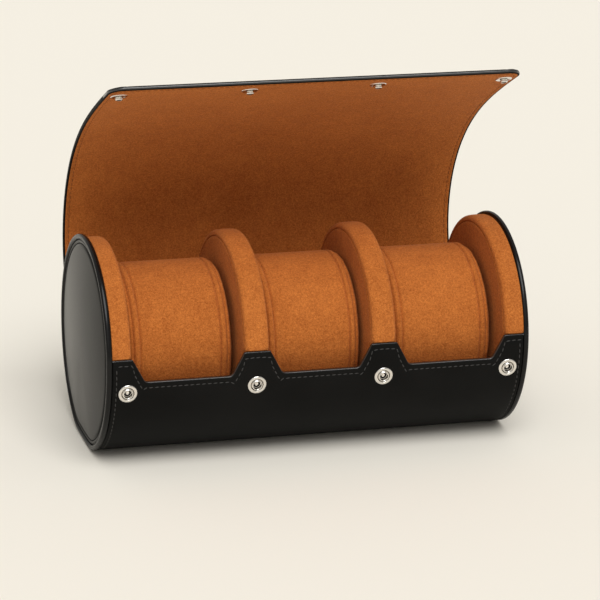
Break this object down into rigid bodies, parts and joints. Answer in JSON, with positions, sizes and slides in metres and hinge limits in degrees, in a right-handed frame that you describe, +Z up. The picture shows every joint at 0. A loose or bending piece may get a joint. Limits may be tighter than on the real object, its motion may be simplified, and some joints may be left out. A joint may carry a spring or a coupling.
{
  "type": "watch travel case",
  "caption": "Roll-shaped leather case with suede cells and lift-out pillows, closed by a curling flap on snap fasteners.",
  "frame": {"origin": "centre of the flat base, on the surface that the case stands on", "axes": "+X along the roll, -Y towards the front edge with the sockets, +Z up"},
  "size_m": [0.2278, 0.1308, 0.2034],
  "materials": {
    "black_leather": "smooth satin",
    "tan_suede": "napped suede",
    "nickel": "polished",
    "stiff_board": "matt",
    "foam": "matt open-cell"
  },
  "bodies": {
    "case": {"wrap_leather": "black_leather", "wrap_board": "stiff_board", "wrap_lining": "tan_suede", "cradle_pads": "tan_suede", "left_divider_cover": "tan_suede", "left_divider_foam": "foam", "right_divider_cover": "tan_suede", "right_divider_foam": "foam", "left_end_cover": "tan_suede", "left_end_foam": "foam", "left_end_board": "stiff_board", "left_end_panel": "black_leather", "left_end_welt": "black_leather", "right_end_cover": "tan_suede", "right_end_foam": "foam", "right_end_board": "stiff_board", "right_end_panel": "black_leather", "right_end_welt": "black_leather", "snap_sockets": "nickel", "snap_rivets": "nickel"},
    "left_pillow": {"left_pillow_sleeve": "tan_suede", "left_pillow_ends": "tan_suede", "left_pillow_foam": "foam"},
    "middle_pillow": {"middle_pillow_sleeve": "tan_suede", "middle_pillow_ends": "tan_suede", "middle_pillow_foam": "foam"},
    "right_pillow": {"right_pillow_sleeve": "tan_suede", "right_pillow_ends": "tan_suede", "right_pillow_foam": "foam"},
    "flap_1": {"flap_leather_1": "black_leather", "flap_stiffener_1": "stiff_board", "flap_suede_1": "tan_suede"},
    "flap_2": {"flap_leather_2": "black_leather", "flap_stiffener_2": "stiff_board", "flap_suede_2": "tan_suede"},
    "flap_3": {"flap_leather_3": "black_leather", "flap_stiffener_3": "stiff_board", "flap_suede_3": "tan_suede"},
    "flap_4": {"flap_leather_4": "black_leather", "flap_stiffener_4": "stiff_board", "flap_suede_4": "tan_suede"},
    "flap_5": {"flap_leather_5": "black_leather", "flap_stiffener_5": "stiff_board", "flap_suede_5": "tan_suede"},
    "flap_6": {"flap_leather_6": "black_leather", "flap_stiffener_6": "stiff_board", "flap_suede_6": "tan_suede"},
    "flap_7": {"flap_leather_7": "black_leather", "flap_stiffener_7": "stiff_board", "flap_suede_7": "tan_suede"},
    "flap_8": {"flap_leather_8": "black_leather", "flap_stiffener_8": "stiff_board", "flap_suede_8": "tan_suede"},
    "flap_9": {"flap_leather_9": "black_leather", "flap_stiffener_9": "stiff_board", "flap_suede_9": "tan_suede", "snap_studs": "nickel", "snap_caps": "nickel"}
  },
  "joints": [
    {"name": "flap_hinge", "type": "hinge", "parent": "case", "child": "flap_1", "pos_m": [0, 0.057, 0.05499], "axis": [1, 0, 0], "range_deg": [-20, 45.51]},
    {"name": "flap_crease_1", "type": "hinge", "parent": "flap_1", "child": "flap_2", "pos_m": [0, 0.07015, 0.07448], "axis": [1, 0, 0], "range_deg": [-4.21, 1.86]},
    {"name": "flap_crease_2", "type": "hinge", "parent": "flap_2", "child": "flap_3", "pos_m": [0, 0.07293, 0.09782], "axis": [1, 0, 0], "range_deg": [-0.53, 1.17]},
    {"name": "flap_crease_3", "type": "hinge", "parent": "flap_3", "child": "flap_4", "pos_m": [0, 0.06681, 0.12052], "axis": [1, 0, 0], "range_deg": [-2.67, 6.05]},
    {"name": "flap_crease_4", "type": "hinge", "parent": "flap_4", "child": "flap_5", "pos_m": [0, 0.05433, 0.14044], "axis": [1, 0, 0], "range_deg": [-4.61, 10.46]},
    {"name": "flap_crease_5", "type": "hinge", "parent": "flap_5", "child": "flap_6", "pos_m": [0, 0.03781, 0.15716], "axis": [1, 0, 0], "range_deg": [-6.31, 14.34]},
    {"name": "flap_crease_6", "type": "hinge", "parent": "flap_6", "child": "flap_7", "pos_m": [0, 0.01896, 0.17119], "axis": [1, 0, 0], "range_deg": [-7.77, 17.65]},
    {"name": "flap_crease_7", "type": "hinge", "parent": "flap_7", "child": "flap_8", "pos_m": [0, -0.00114, 0.18339], "axis": [1, 0, 0], "range_deg": [-8.93, 20.3]},
    {"name": "flap_crease_8", "type": "hinge", "parent": "flap_8", "child": "flap_9", "pos_m": [0, -0.02179, 0.19462], "axis": [1, 0, 0], "range_deg": [-7.11, 16.16]},
    {"name": "left_pillow_lift", "type": "slide", "parent": "case", "child": "left_pillow", "axis": [0, 0, 1], "range_m": [0, 0.011]},
    {"name": "middle_pillow_lift", "type": "slide", "parent": "case", "child": "middle_pillow", "axis": [0, 0, 1], "range_m": [0, 0.011]},
    {"name": "right_pillow_lift", "type": "slide", "parent": "case", "child": "right_pillow", "axis": [0, 0, 1], "range_m": [0, 0.011]}
  ],
  "couplings": [
    {"joint": "flap_crease_1", "follows": "flap_hinge", "ratio": -0.092093},
    {"joint": "flap_crease_2", "follows": "flap_hinge", "ratio": 0.02523},
    {"joint": "flap_crease_3", "follows": "flap_hinge", "ratio": 0.1326},
    {"joint": "flap_crease_4", "follows": "flap_hinge", "ratio": 0.22936},
    {"joint": "flap_crease_5", "follows": "flap_hinge", "ratio": 0.31465},
    {"joint": "flap_crease_6", "follows": "flap_hinge", "ratio": 0.3873},
    {"joint": "flap_crease_7", "follows": "flap_hinge", "ratio": 0.44553},
    {"joint": "flap_crease_8", "follows": "flap_hinge", "ratio": 0.35451}
  ]
}
